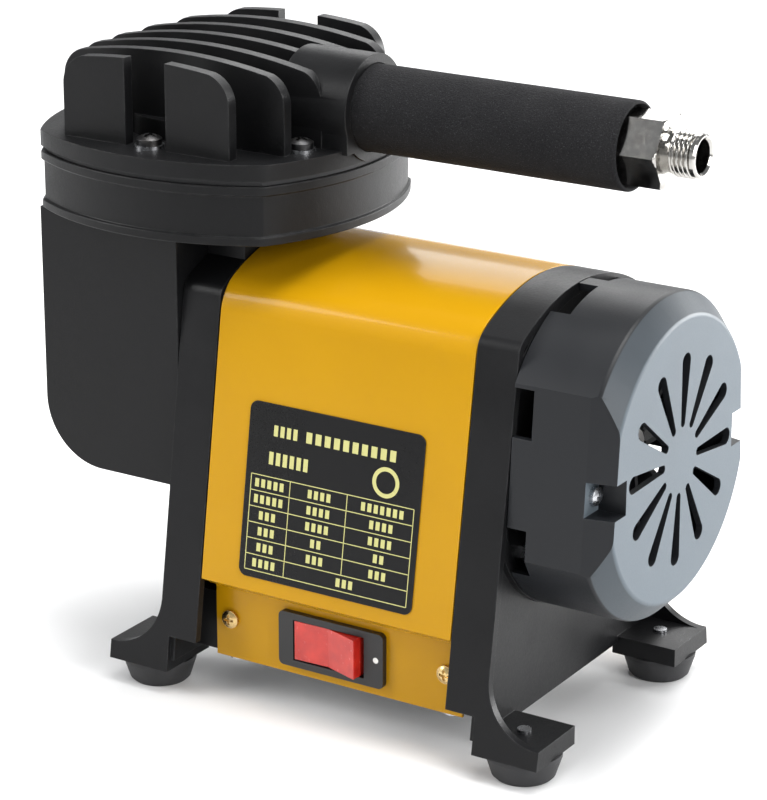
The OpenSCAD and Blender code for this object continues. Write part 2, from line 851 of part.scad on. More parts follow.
module pump_ring() {
  color("#34363a") difference() {
    at_pump() translate([0, 0, ring_z0]) {
      linear_extrude(ring_z1 - ring_z0) pump_plan(0.8);
      linear_extrude(2.6) pump_plan(0);
      translate([0, 0, ring_z1 - ring_z0 - 2.8]) linear_extrude(2.8) pump_plan(0);
    }
    at_pump() translate([0, 0, ring_z0 + ring_floor]) cylinder(r = ring_bore, h = far);
    at_pump() cylinder(r = rod_gap, h = far);
    at_head_bolts() translate([0, 0, ring_z1 - 12]) cylinder(r = 1.95, h = far);
  }
}

module valve_plate() {
  color("#a8abae") difference() {
    disc(valve_r, 0.1, flange_z0, valve_z1);
    at_pump() {
      cylinder(r = chamber_r, h = flange_z0 + chamber_h);
      for (s = [-1, 1], y = [-2, 2]) translate([s * 13, y, 0]) cylinder(r = 1.3, h = far);
      for (s = [-1, 1]) translate([s * 22, 0, 0]) cylinder(r = 1.2, h = far);
      translate([0, 0, valve_z1 - 0.8]) difference() {
        cylinder(r = seal_r + 1.1, h = far);
        cylinder(r = seal_r - 1.1, h = far);
      }
    }
  }
}

module reed(s, z) {
  at_pump() translate([s * 17, 0, z]) linear_extrude(0.3) difference() {
    rounded_rect(14.5, 8, 3.6);
    translate([s * 5, 0]) circle(r = 1.2);
  }
}
module intake_reed() { color("#c3c6c9") reed(-1, flange_z0 + chamber_h - 0.3); }
module exhaust_reed() { color("#c3c6c9") reed(1, valve_z1); }

module reed_rivets() {
  low = flange_z0 + chamber_h;
  color("#9a9da1") at_pump() for (s = [-1, 1]) {
    translate([s * 22, 0, low - 0.8]) cylinder(r = 1.2, h = valve_z1 - low + 1.6);
    translate([s * 22, 0, s < 0 ? low - 0.8 : valve_z1 + 0.3]) cylinder(r = 2.1, h = 0.5);
  }
}

module valve_seal() {
  color("#161617") at_pump() translate([0, 0, valve_z1 - 0.8]) difference() {
    cylinder(r = seal_r + 1, h = 0.8);
    translate([0, 0, -1]) cylinder(r = seal_r - 1, h = 3);
  }
}

// Front view of a fin of half length l: a domed top with rounded ends
module fin_side(l) {
  intersection() {
    union() {
      translate([-l, flange_z1 - 2]) square([2 * l, head_top - fin_corner - flange_z1 + 2]);
      translate([fin_corner - l, flange_z1]) square([2 * (l - fin_corner), head_top - flange_z1]);
      for (s = [-1, 1]) translate([s * (l - fin_corner), fin_end_z(l)]) circle(r = fin_corner);
    }
    translate([0, head_top - dome_r]) circle(r = dome_r, $fn = 360);
    union() {
      translate([fin_corner - l, 0]) square([2 * (l - fin_corner), far]);
      translate([-l, 0]) square([2 * l, fin_end_z(l)]);
      for (s = [-1, 1]) translate([s * (l - fin_corner), fin_end_z(l)]) circle(r = fin_corner);
    }
  }
}

// Height of a fin's corner centre, under the dome
function fin_end_z(l) = head_top - pow(l - fin_corner, 2) / (2 * dome_r) - fin_corner;

module cylinder_head() {
  color("#303235") difference() {
    at_pump() union() {
      translate([0, 0, flange_z0]) linear_extrude(flange_z1 - flange_z0) pump_plan(0);
      translate([0, 0, flange_z1 - 1]) cylinder(r = plateau_r, h = plateau_z - flange_z1 + 1);
      for (i = [-3 : 3]) difference() {
        along_y(i * fin_pitch - fin_t / 2, i * fin_pitch + fin_t / 2)
          fin_side(abs(i) == 3 ? end_fin_half : plan_half(i * fin_pitch) - fin_inset);
        if (abs(i) == 3) block(-fin_gap, fin_gap, -far, far, flange_z1, far);
      }
      translate([pump_offset, 0, 0]) {
        bar_x(collar_r, collar_x0, collar_x1, 0, handle_z);
        block(collar_x0, collar_x1, -collar_base, collar_base, flange_z1 - 1, handle_z);
        bar_x(7.5, collar_x0 - 14, collar_x0 + 1, 0, handle_z);
      }
      bar_y(filter_boss_r, 8, filter_y0, filter_x, filter_z);
    }
    at_pump() {
      block(-far, far, -far, far, 0, flange_z0);
      cylinder(r = valve_r + 0.1, h = valve_z1);
      difference() {
        cylinder(r = plateau_r - 5, h = plateau_z - 2.4);
        block(-2, 2, -far, far, 0, far);
        cylinder(r = far, h = valve_z1);
      }
      translate([24, 0, valve_z1]) cylinder(r = 3, h = handle_z - valve_z1);
      bar_y(3.05, 8, far, filter_x, filter_z);
      translate([pump_offset, 0, 0]) {
        bar_x(4, -44, collar_x1, 0, handle_z);
        bar_x(tube_r, tube_x0, far, 0, handle_z);
        bar_x(foam_d / 2 + 0.1, foam_x0, far, 0, handle_z);
      }
    }
    at_head_bolts() cylinder(r = 2.2, h = far);
  }
}

module head_bolts() {
  color("#55585c") at_head_bolts() translate([0, 0, flange_z1 + washer_t])
    pan_screw(3.7, 3, 1.95, 15);
}

module head_washers() {
  color("#8c8f93") at_head_bolts() translate([0, 0, flange_z1]) difference() {
    cylinder(r = washer_r, h = washer_t);
    translate([0, 0, -1]) cylinder(r = 2.05, h = 3);
  }
}

module intake_filter() {
  color("#26272a") at_pump() difference() {
    union() {
      bar_y(5.2, filter_y0, filter_y0 + 7, filter_x, filter_z);
      bar_y(3, filter_y0 - 6, filter_y0 + 1, filter_x, filter_z);
    }
    bar_y(1.4, 0, filter_y0 + 5, filter_x, filter_z);
    for (a = [0 : 60 : 359])
      translate([filter_x, 0, filter_z]) rotate([0, a, 0]) bar_y(0.7, filter_y0 + 5, far, 2.9, 0);
    bar_y(0.7, filter_y0 + 4, far, filter_x, filter_z);
  }
}

// ---- Handle ----

module handle_tube() {
  color("#b9bcc0") at_motor() difference() {
    bar_x(tube_r, tube_x0, tube_x1, 0, handle_z);
    bar_x(tube_r - 2, -far, far, 0, handle_z);
  }
}

module foam_grip() {
  color("#1f2022") at_motor() difference() {
    bar_x(foam_d / 2, foam_x0, foam_x1, 0, handle_z);
    bar_x(tube_r, -far, far, 0, handle_z);
    bar_x(foam_recess_r, hex_x0 - 0.2, far, 0, handle_z);
  }
}

module outlet_fitting() {
  color("#d8dadc") at_motor() translate([0, 0, handle_z]) difference() {
    union() {
      translate([hex_x0, 0, 0]) rotate([0, 90, 0]) rotate([0, 0, 30])
        cylinder(r = hex_af / 2 / cos(30), h = hex_x1 - hex_x0, $fn = 6);
      bar_x(thread_d / 2, hex_x1 - eps, thread_end);
    }
    bar_x(tube_r, 0, tube_x1);
    bar_x(4.6, 0, far);
  }
}

// ---- Drawing ----

pump_frame();
fan_frame();
motor_cover();
cover_screws();
data_plate();
switch_housing();
switch_rocker();
switch_terminals();
cord_gland();
base_plate();
base_plate_screws();
foot_front_left();
foot_front_right();
foot_rear_left();
foot_rear_right();
foot_screws();
stator_core();
stator_windings();
rotor_core();
motor_shaft();
tie_bolts();
fan_end_bearing();
pump_end_bearing();
bearing_inner_races();
bearing_balls();
cooling_fan();
fan_clip();
fan_cover();
fan_cover_screws();
crankcase();
crankcase_screws();
eccentric();
eccentric_grub_screw();
connecting_rod();
rod_bearing();
diaphragm_lower_plate();
diaphragm();
diaphragm_upper_plate();
diaphragm_screw();
pump_ring();
valve_plate();
intake_reed();
exhaust_reed();
reed_rivets();
valve_seal();
cylinder_head();
head_bolts();
head_washers();
intake_filter();
handle_tube();
foam_grip();
outlet_fitting();
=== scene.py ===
"""Looks for the airbrush compressor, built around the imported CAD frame."""
import json
import math

import bmesh
import bpy
from mathutils import Matrix, Vector, noise


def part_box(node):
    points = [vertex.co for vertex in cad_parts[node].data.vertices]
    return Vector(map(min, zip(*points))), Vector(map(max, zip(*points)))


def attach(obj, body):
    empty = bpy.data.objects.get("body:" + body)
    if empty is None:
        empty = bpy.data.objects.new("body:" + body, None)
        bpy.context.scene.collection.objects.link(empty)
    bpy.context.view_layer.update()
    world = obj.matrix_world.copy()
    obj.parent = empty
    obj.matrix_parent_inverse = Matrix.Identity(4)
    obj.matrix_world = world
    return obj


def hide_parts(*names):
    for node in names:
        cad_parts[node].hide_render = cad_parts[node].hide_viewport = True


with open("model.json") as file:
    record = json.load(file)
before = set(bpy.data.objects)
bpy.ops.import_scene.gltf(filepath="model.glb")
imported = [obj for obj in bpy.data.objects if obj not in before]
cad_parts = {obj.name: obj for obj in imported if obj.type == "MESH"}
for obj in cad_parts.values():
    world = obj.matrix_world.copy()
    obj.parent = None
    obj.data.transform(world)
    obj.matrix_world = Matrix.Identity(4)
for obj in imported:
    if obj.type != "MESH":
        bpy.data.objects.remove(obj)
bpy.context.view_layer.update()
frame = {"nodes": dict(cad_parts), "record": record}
NODES = frame["nodes"]

# Places that part.scad fixes, in metres
MOTOR_X = 0.0116
LEAN = math.radians(8.6)
PANEL_FOOT = Vector((MOTOR_X, -0.0479, 0.0381))
HANDLE_Z = 0.1724
SHAFT_Z = 0.0854
# The fan cover's two round outer edges, as (x, radius about the shaft)
COVER_RIMS = ((0.093, 0.047), (0.099, 0.041))


# ---------------------------------------------------------------- materials

class Nodes:
    """A material's node tree, built up by short calls."""

    def __init__(self, name):
        self.mat = bpy.data.materials.new(name)
        self.mat.use_nodes = True
        self.tree = self.mat.node_tree
        self.tree.nodes.clear()
        self.out = self.tree.nodes.new("ShaderNodeOutputMaterial")
        self.bsdf = self.tree.nodes.new("ShaderNodeBsdfPrincipled")
        self.tree.links.new(self.bsdf.outputs[0], self.out.inputs["Surface"])
        coord = self.tree.nodes.new("ShaderNodeTexCoord")
        self.place = coord.outputs["Object"]

    def link(self, a, b):
        self.tree.links.new(a, b)

    def noise(self, scale, detail=3.0, rough=0.55, stretch=None):
        n = self.tree.nodes.new("ShaderNodeTexNoise")
        n.inputs["Scale"].default_value = scale
        n.inputs["Detail"].default_value = detail
        n.inputs["Roughness"].default_value = rough
        self.link(self.stretched(stretch), n.inputs["Vector"])
        return n.outputs["Fac"]

    def voronoi(self, scale, feature="F1"):
        n = self.tree.nodes.new("ShaderNodeTexVoronoi")
        n.feature = feature
        n.inputs["Scale"].default_value = scale
        self.link(self.place, n.inputs["Vector"])
        return n.outputs["Distance"]

    def stretched(self, stretch):
        if stretch is None:
            return self.place
        m = self.tree.nodes.new("ShaderNodeMapping")
        m.inputs["Scale"].default_value = stretch
        self.link(self.place, m.inputs["Vector"])
        return m.outputs["Vector"]

    def ramp(self, value, low, high, out_low=0.0, out_high=1.0):
        n = self.tree.nodes.new("ShaderNodeMapRange")
        n.inputs["From Min"].default_value = low
        n.inputs["From Max"].default_value = high
        n.inputs["To Min"].default_value = out_low
        n.inputs["To Max"].default_value = out_high
        self.link(value, n.inputs["Value"])
        return n.outputs["Result"]

    def mix(self, factor, a, b):
        n = self.tree.nodes.new("ShaderNodeMix")
        n.data_type = "RGBA"
        self.link(factor, n.inputs["Factor"])
        for socket, value in ((n.inputs[6], a), (n.inputs[7], b)):
            if isinstance(value, (tuple, list)):
                socket.default_value = (*value, 1)
            else:
                self.link(value, socket)
        return n.outputs[2]

    def math(self, op, a, b=None):
        n = self.tree.nodes.new("ShaderNodeMath")
        n.operation = op
        for socket, value in zip(n.inputs, (a, b)):
            if value is None:
                continue
            if isinstance(value, (int, float)):
                socket.default_value = value
            else:
                self.link(value, socket)
        return n.outputs[0]

    def edges(self, radius):
        """1 on convex edges and 0 on flat places, from how far a bevelled normal turns."""
        bevel = self.tree.nodes.new("ShaderNodeBevel")
        bevel.samples = 4
        bevel.inputs["Radius"].default_value = radius
        geo = self.tree.nodes.new("ShaderNodeNewGeometry")
        dot = self.tree.nodes.new("ShaderNodeVectorMath")
        dot.operation = "DOT_PRODUCT"
        self.link(bevel.outputs[0], dot.inputs[0])
        self.link(geo.outputs["Normal"], dot.inputs[1])
        return self.ramp(dot.outputs["Value"], 0.995, 0.88)

    def facing_x(self):
        """1 where the surface looks along the object's +X, and 0 from square to it."""
        coord = self.tree.nodes.new("ShaderNodeTexCoord")
        parts = self.tree.nodes.new("ShaderNodeSeparateXYZ")
        self.link(coord.outputs["Normal"], parts.inputs[0])
        return parts.outputs["X"]

    def bump(self, height, strength, distance, under=None):
        n = self.tree.nodes.new("ShaderNodeBump")
        n.inputs["Strength"].default_value = strength
        n.inputs["Distance"].default_value = distance
        self.link(height, n.inputs["Height"])
        if under is not None:
            self.link(under, n.inputs["Normal"])
        return n.outputs["Normal"]

    def set(self, **values):
        for key, value in values.items():
            socket = self.bsdf.inputs[key.replace("_", " ")]
            if isinstance(value, (int, float)):
                socket.default_value = value
            elif isinstance(value, (tuple, list)):
                socket.default_value = (*value, 1)
            else:
                self.link(value, socket)
        return self.mat


def painted_casting(name, dark, worn, grain=1500, roughness=(0.3, 0.46), bump=0.25, wear=0.5):
    """Satin paint over a sand or die casting: fine orange peel, dusty patches, rubbed edges."""
    n = Nodes(name)
    large = n.noise(35, 4)
    fine = n.noise(grain, 3, 0.6)
    tint = n.mix(n.ramp(large, 0.35, 0.7), dark, [c * 1.45 for c in dark])
    rubbed = n.math("MULTIPLY", n.edges(0.0007), n.ramp(n.noise(260, 4, 0.7), 0.42, 0.72))
    colour = n.mix(n.math("MULTIPLY", rubbed, wear), tint, worn)
    rough = n.math("ADD", n.ramp(large, 0.3, 0.7, *roughness), n.ramp(fine, 0.3, 0.7, -0.05, 0.05))
    normal = n.bump(fine, bump, 0.00012, n.bump(n.noise(grain / 6, 2), bump * 0.5, 0.0003))
    return n.set(Base_Color=colour, Roughness=rough, Normal=normal, Specular_IOR_Level=0.2)


def gloss_paint(name, base, deep, worn):
    """Glossy enamel on sheet metal with a clear top, faint orange peel and fine dust."""
    n = Nodes(name)
    cloud = n.noise(14, 3)
    colour = n.mix(n.ramp(cloud, 0.35, 0.65), base, deep)
    chip = n.math("MULTIPLY", n.edges(0.0005), n.ramp(n.noise(500, 4, 0.7), 0.52, 0.7))
    colour = n.mix(n.math("MULTIPLY", chip, 0.55), colour, worn)
    dust = n.ramp(n.noise(2600, 2), 0.66, 0.8)
    rough = n.math("ADD", n.ramp(cloud, 0.3, 0.7, 0.2, 0.27), n.math("MULTIPLY", dust, 0.15))
    peel = n.bump(n.noise(420, 2, 0.4), 0.035, 0.0004)
    n.set(Coat_Weight=0.18, Coat_Roughness=0.06, Specular_IOR_Level=0.12)
    return n.set(Base_Color=colour, Roughness=rough, Normal=peel)


def plastic(name, base, light, roughness=(0.4, 0.52), grain=2200, bump=0.16, wear=0.35,
            shine=0.5, painted_end_sheen=None):
    """Moulded plastic with a spark-eroded grain, flow marks and lighter edges.

    painted_end_sheen is the paler colour of faces that look along +X: a painted sheen for the
    light that the end face catches."""
    n = Nodes(name)
    flow = n.noise(28, 3, 0.5, (1, 1, 0.4))
    fine = n.noise(grain, 2, 0.5)
    colour = n.mix(n.ramp(flow, 0.3, 0.7), base, [c * 1.18 for c in base])
    if painted_end_sheen:
        # Painted sheen: faces that look along +X are mixed towards a paler colour, for the light
        # caught by the end face.
        painted_sheen_mask = n.math("ADD", n.facing_x(), n.ramp(flow, 0.3, 0.7, -0.06, 0.06))
        colour = n.mix(n.ramp(painted_sheen_mask, 0.5, 1.0), colour, painted_end_sheen)
    rubbed = n.math("MULTIPLY", n.edges(0.0006), n.ramp(n.noise(300, 3), 0.35, 0.7))
    colour = n.mix(n.math("MULTIPLY", rubbed, wear), colour, light)
    rough = n.math("ADD", n.ramp(flow, 0.3, 0.7, *roughness), n.ramp(fine, 0.3, 0.7, -0.04, 0.04))
    return n.set(Base_Color=colour, Roughness=rough, Normal=n.bump(fine, bump, 0.0001),
                 Specular_IOR_Level=shine)


def metal(name, base, stain, roughness=(0.2, 0.34), stretch=None, scale=900, bump=0.08):
    """Plated, turned or ground metal: fine marks along one direction and slight staining."""
    n = Nodes(name)
    marks = n.noise(scale, 3, 0.6, stretch)
    spots = n.noise(120, 4, 0.6)
    colour = n.mix(n.ramp(spots, 0.45, 0.75), base, stain)
    rough = n.math("ADD", n.ramp(marks, 0.3, 0.7, *roughness), n.ramp(spots, 0.4, 0.7, 0, 0.06))
    n.set(Metallic=1.0)
    return n.set(Base_Color=colour, Roughness=rough, Normal=n.bump(marks, bump, 0.00005))


def rubber(name, base, roughness=(0.6, 0.75), grain=1800, bump=0.3):
    n = Nodes(name)
    bloom = n.noise(70, 4, 0.6)
    fine = n.noise(grain, 3, 0.6)
    colour = n.mix(n.ramp(bloom, 0.4, 0.75), base, [c * 2.2 for c in base])
    rough = n.ramp(bloom, 0.3, 0.7, *roughness)
    return n.set(Base_Color=colour, Roughness=rough, Normal=n.bump(fine, bump, 0.00015))


def foam(name):
    """Closed-cell foam: small open pores of mixed sizes, each darkened towards its middle as
    painted shade in the pore.
    """
    n = Nodes(name)
    cells = n.voronoi(2100)
    small = n.voronoi(4200)
    speck = n.ramp(n.noise(3000, 2, 0.6), 0.6, 0.74)
    patch = n.noise(60, 3)
    # Painted shade: colour darkens towards each pore's middle, where the bump sinks the surface.
    colour = n.mix(n.ramp(cells, 0.1, 0.55), (0.0035, 0.0035, 0.004), (0.010, 0.010, 0.011))
    colour = n.mix(n.math("MULTIPLY", speck, 0.8), colour, (0.06, 0.06, 0.064))
    rough = n.ramp(patch, 0.3, 0.7, 0.82, 0.95)
    normal = n.bump(cells, 0.5, 0.0002, n.bump(small, 0.3, 0.0001))
    n.set(Specular_IOR_Level=0.2)
    return n.set(Base_Color=colour, Roughness=rough, Normal=normal)


def print_ink(name, base):
    n = Nodes(name)
    worn = n.noise(900, 4, 0.7)
    colour = n.mix(n.ramp(worn, 0.6, 0.8), base, [c * 0.55 for c in base])
    return n.set(Base_Color=colour, Roughness=n.ramp(worn, 0.3, 0.7, 0.38, 0.5),
                 Normal=n.bump(worn, 0.1, 0.00003))


def laminated(name, base, stain):
    """Edges of stacked electrical sheet, in fine bands across the shaft."""
    n = Nodes(name)
    bands = n.noise(2000, 2, 0.5, (1, 0.004, 0.004))
    spots = n.noise(90, 4)
    colour = n.mix(n.ramp(spots, 0.4, 0.7), base, stain)
    n.set(Metallic=0.85)
    return n.set(Base_Color=colour, Roughness=n.ramp(bands, 0.3, 0.7, 0.35, 0.55),
                 Normal=n.bump(bands, 0.5, 0.0002))


def wound(name, base, gap):
    """Varnished copper wire, laid round the shaft."""
    n = Nodes(name)
    wires = n.noise(1500, 2, 0.4, (1, 0.06, 0.06))
    colour = n.mix(n.ramp(wires, 0.35, 0.6), gap, base)
    n.set(Metallic=0.7, Coat_Weight=0.3)
    return n.set(Base_Color=colour, Roughness=n.ramp(wires, 0.3, 0.7, 0.5, 0.3),
                 Normal=n.bump(wires, 0.6, 0.0003))


def red_rocker():
    """Translucent red moulding, darker where it is thick."""
    n = Nodes("rocker_red_clear")
    flow = n.noise(160, 3)
    colour = n.mix(n.ramp(flow, 0.3, 0.7), (0.42, 0.012, 0.008), (0.62, 0.03, 0.018))
    n.set(Subsurface_Weight=0.25, Subsurface_Scale=0.002, Coat_Weight=0.5, Coat_Roughness=0.08)
    return n.set(Base_Color=colour, Roughness=n.ramp(n.noise(700, 2), 0.3, 0.7, 0.16, 0.28),
                 Normal=n.bump(n.noise(600, 2), 0.04, 0.0002))


MATERIALS = {
    "casting": painted_casting("casting_black", (0.0050, 0.0051, 0.0056), (0.07, 0.07, 0.073)),
    "pump_casting": painted_casting("pump_black", (0.0044, 0.0045, 0.0049), (0.075, 0.075, 0.075),
                                    grain=1900, roughness=(0.34, 0.5), bump=0.3),
    "cover_paint": gloss_paint("enamel_yellow", (0.50, 0.258, 0.003), (0.46, 0.232, 0.0025),
                               (0.35, 0.33, 0.3)),
    # The paler end face colour below is a painted sheen for light on the cover's end face.
    "fan_cover_plastic": plastic("plastic_slate", (0.009, 0.010, 0.012), (0.06, 0.066, 0.075),
                                 shine=0.3, painted_end_sheen=(0.105, 0.128, 0.148)),
    "plate_black": plastic("plate_ground", (0.003, 0.003, 0.0034), (0.05, 0.05, 0.052),
                           roughness=(0.25, 0.34), bump=0.05, shine=0.25),
    "switch_black": plastic("plastic_black", (0.010, 0.010, 0.011), (0.06, 0.06, 0.062),
                            roughness=(0.3, 0.42)),
    "rocker_red": red_rocker(),
    "brass_tab": metal("brass_tinned", (0.6, 0.47, 0.22), (0.4, 0.3, 0.15)),
    "rubber_black": rubber("rubber_black", (0.014, 0.014, 0.015)),
    "zinc_yellow": metal("zinc_yellow", (0.72, 0.53, 0.24), (0.5, 0.32, 0.14), (0.16, 0.3)),
    "steel_black": metal("steel_blackened", (0.05, 0.05, 0.052), (0.09, 0.085, 0.08), (0.3, 0.45)),
    "zinc_clear": metal("zinc_clear", (0.5, 0.51, 0.53), (0.33, 0.33, 0.34)),
    "steel_plain": metal("steel_ground", (0.55, 0.55, 0.56), (0.4, 0.38, 0.36), (0.18, 0.3),
                         (1, 0.1, 0.1)),
    "lamination": laminated("sheet_stack", (0.3, 0.3, 0.31), (0.2, 0.17, 0.15)),
    "copper": wound("copper_wire", (0.62, 0.25, 0.1), (0.12, 0.04, 0.02)),
    "fan_plastic": plastic("plastic_fan", (0.02, 0.021, 0.023), (0.07, 0.07, 0.075)),
    "aluminium_cast": metal("aluminium_cast", (0.6, 0.6, 0.61), (0.42, 0.42, 0.43), (0.35, 0.5),
                            None, 1300, 0.3),
    "sheet_zinc": metal("sheet_galvanised", (0.48, 0.49, 0.5), (0.34, 0.35, 0.37), (0.3, 0.45),
                        None, 160, 0.05),
    "foam_black": foam("foam_grip_cells"),
    "chrome_fitting": metal("nickel_bright", (0.5, 0.49, 0.47), (0.33, 0.315, 0.29), (0.07, 0.15),
                            None, 700, 0.03),
}


SLOT_OF = {s["node"]: s["material_slot"] for s in frame["record"]["subparts"]}


def paint(obj, material):
    obj.data.materials.clear()
    obj.data.materials.append(material)


for node_name, node_object in NODES.items():
    paint(node_object, MATERIALS[SLOT_OF[node_name]])


# ---------------------------------------------------------------- mesh helpers

def new_piece(name, mesh, body, slot, material=None, smooth=None):
    """Links a mesh as a piece that rides on a body and is finished as a slot of the record."""
    obj = bpy.data.objects.new(name, mesh)
    bpy.context.scene.collection.objects.link(obj)
    paint(obj, material or MATERIALS[slot])
    if smooth is not None:
        mesh.shade_smooth()
        mesh.set_sharp_from_angle(angle=math.radians(smooth))
    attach(obj, body)
    return obj


def mesh_from(bm, name):
    bmesh.ops.recalc_face_normals(bm, faces=bm.faces)
    mesh = bpy.data.meshes.new(name)
    bm.to_mesh(mesh)
    bm.free()
    return mesh


def rounded(node, name, width, body="housing", segments=2, angle=28, material=None, soft=None):
    """A copy of a CAD node with its sharp edges really rounded, shown in the node's place.

    soft is (test of a point, width) for edges that are rounded more than the rest."""
    bm = bmesh.new()
    bm.from_mesh(NODES[node].data)
    bmesh.ops.remove_doubles(bm, verts=bm.verts, dist=2e-6)
    bmesh.ops.dissolve_limit(bm, angle_limit=math.radians(0.6), verts=bm.verts, edges=bm.edges)
    if soft:
        test, soft_width = soft
        edges = [e for e in bm.edges if all(test(v.co) for v in e.verts)]
        bmesh.ops.bevel(bm, geom=edges, offset=soft_width, offset_type="OFFSET", segments=5,
                        profile=0.5, affect="EDGES", clamp_overlap=True)
    mesh = mesh_from(bm, name)
    obj = new_piece(name, mesh, body, SLOT_OF[node], material)
    bevel = obj.modifiers.new("round", "BEVEL")
    bevel.width = width
    bevel.segments = segments
    bevel.limit_method = "ANGLE"
    bevel.angle_limit = math.radians(angle)
    bevel.use_clamp_overlap = True
    bevel.miter_outer = "MITER_ARC"
    bevel.harden_normals = False
    mesh.shade_smooth()
    mesh.set_sharp_from_angle(angle=math.radians(40))
    weighted = obj.modifiers.new("shade", "WEIGHTED_NORMAL")
    weighted.keep_sharp = True
    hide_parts(node)
    return obj


def lathe(profile, axis_point, axis="X", steps=96):
    """Turns (distance along axis, radius) points round the axis; the profile is a closed loop."""
    bm = bmesh.new()
    rings = []
    for i in range(steps):
        a = 2 * math.pi * i / steps
        ring = []
        for along, r in profile:
            if axis == "X":
                p = Vector((along, r * math.cos(a), r * math.sin(a)))
            else:
                p = Vector((r * math.cos(a), r * math.sin(a), along))
            ring.append(bm.verts.new(axis_point + p))
        rings.append(ring)
    count = len(profile)
    for i in range(steps):
        a, b = rings[i], rings[(i + 1) % steps]
        for j in range(count):
            k = (j + 1) % count
            bm.faces.new((a[j], a[k], b[k], b[j]))
    return bm


# ---------------------------------------------------------------- rounded copies of the CAD


def on_cover_rim(p):
    """True on the two round edges of the fan cover's chamfer."""
    r = math.hypot(p.y, p.z - SHAFT_Z)
    return any(abs(p.x - x) < 0.0002 and abs(r - rim_r) < 0.0003 for x, rim_r in COVER_RIMS)


rounded("pump_frame", "pump_frame_cast", 0.0006)
rounded("fan_frame", "fan_frame_cast", 0.0006)
rounded("crankcase", "crankcase_cast", 0.0007)
rounded("pump_ring", "pump_ring_cast", 0.0007)
rounded("cylinder_head", "head_cast", 0.0006)
rounded("motor_cover", "cover_sheet", 0.0003)
rounded("fan_cover", "fan_cover_moulding", 0.0005, soft=(on_cover_rim, 0.0022))
rounded("switch_housing", "switch_bezel", 0.0004)
rounded("switch_rocker", "switch_key", 0.0005, body="rocker")
rounded("data_plate", "data_plate_sheet", 0.0001)
rounded("cover_screws", "cover_screw_heads", 0.00018)
rounded("head_bolts", "head_bolt_heads", 0.0002)

# ---------------------------------------------------------------- foam grip

def hash_noise(p, size, seed=0.0):
    """Smooth noise of mathutils, from -1 to 1, with features of about size metres."""
    return noise.noise(Vector((p[0] / size + seed, p[1] / size - seed, p[2] / size)))


def foam_grip():
    """The sleeve: rounded ends, an end recess for the hexagon, faint waves and small pores."""
    lo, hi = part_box("foam_grip")
    outer = (hi.z - lo.z) / 2 - 0.0001
    inner, lip = 0.0061, 0.0009
    recess_r, recess_x = 0.0115, hi.x - 0.0036
    round_steps = 8
    around, along = 360, 330
    profile = [(lo.x, inner), (lo.x, outer - lip)]
    profile += [(lo.x + (hi.x - lo.x - lip) * i / along, outer) for i in range(along + 1)]
    profile += [(hi.x - lip + lip * math.sin(a), outer - lip + lip * math.cos(a))
                for a in [math.pi / 2 * i / round_steps for i in range(1, round_steps + 1)]]
    profile += [(hi.x - 0.0001, recess_r + 0.0002), (hi.x - 0.0004, recess_r),
                (recess_x, recess_r), (recess_x, inner)]
    bm = lathe(profile, Vector((0, 0, HANDLE_Z)), steps=around)
    for v in bm.verts:
        radial = Vector((0, v.co.y, v.co.z - HANDLE_Z))
        if radial.length < outer - lip * 0.8:
            continue
        wave = 0.00006 * (hash_noise(v.co, 0.02, 3.1) - 0.6)
        pore = -0.00016 * max(0.0, hash_noise(v.co, 0.0006) - 0.12)
        v.co += radial.normalized() * (wave + pore)
    mesh = mesh_from(bm, "foam_sleeve")
    grip = new_piece("foam_sleeve", mesh, "housing", "foam_black", smooth=50)
    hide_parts("foam_grip")


# ---------------------------------------------------------------- outlet fitting

def outlet_fitting():
    """Chamfered hexagon, neck, a helical thread of 19 turns an inch and a chamfered bore."""
    lo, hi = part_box("outlet_fitting")
    major, pitch, depth = 0.00655, 0.001337, 0.0008
    flats = 0.0095
    hex_end = 0.0932
    bore = 0.0046
    steps = 144
    thread_start = hex_end + 0.0012
    tip = hi.x - 0.0016

    def hexagon(angle):
        turn = angle % (math.pi / 3) - math.pi / 6
        return flats / math.cos(turn)

    def radius(x, angle):
        if x <= hex_end:
            ends = min(x - lo.x, hex_end - x)
            return min(hexagon(angle), flats * 1.04 + ends * 1.75)
        if x < thread_start:
            return major - depth - 0.0002
        phase = ((x / pitch - angle / (2 * math.pi)) % 1.0) * 2 - 1
        tooth = max(0.0, min(1.0, 1.25 - 1.5 * abs(phase)))
        fade = max(0.0, min(1.0, (x - thread_start) / pitch, (tip - x) / (pitch * 0.4) + 0.3))
        return major - depth + depth * tooth * fade - (x - thread_start) * 0.012

    chamfer_steps = (0, 0.0003, 0.0006, 0.0009, 0.0012, 0.0016)
    hex_x = [lo.x + step for step in chamfer_steps]
    hex_x += [hex_end - step for step in reversed(chamfer_steps)]
    neck_x = [hex_end + 0.00002, thread_start]
    rings_a_turn = 12
    turn_rings = int((tip - thread_start) / pitch * rings_a_turn)
    turns = [thread_start + pitch / rings_a_turn * i for i in range(1, turn_rings)]
    places = hex_x + neck_x + turns + [tip]
    bm = bmesh.new()
    rings = []

    def ring(x, size):
        row = []
        for i in range(steps):
            a = 2 * math.pi * i / steps
            r = size(x, a) if callable(size) else size
            row.append(bm.verts.new((x, r * math.cos(a), HANDLE_Z + r * math.sin(a))))
        rings.append(row)

    ring(lo.x, 0.0062)
    for x in places:
        ring(x, radius)
    ring(tip + 0.0001, major - 0.0004)
    ring(hi.x - 0.0005, major - 0.0004)
    ring(hi.x, major - 0.0009)
    ring(hi.x, bore + 0.0006)
    ring(hi.x - 0.0006, bore)
    ring(lo.x + 0.004, bore)
    ring(lo.x + 0.004, 0.0062)
    for a, b in zip(rings, rings[1:] + rings[:1]):
        for i in range(steps):
            k = (i + 1) % steps
            bm.faces.new((a[i], a[k], b[k], b[i]))
    piece = new_piece("outlet_threaded", mesh_from(bm, "outlet_threaded"), "housing",
                      "chrome_fitting", smooth=32)
    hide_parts("outlet_fitting")


# ---------------------------------------------------------------- data plate

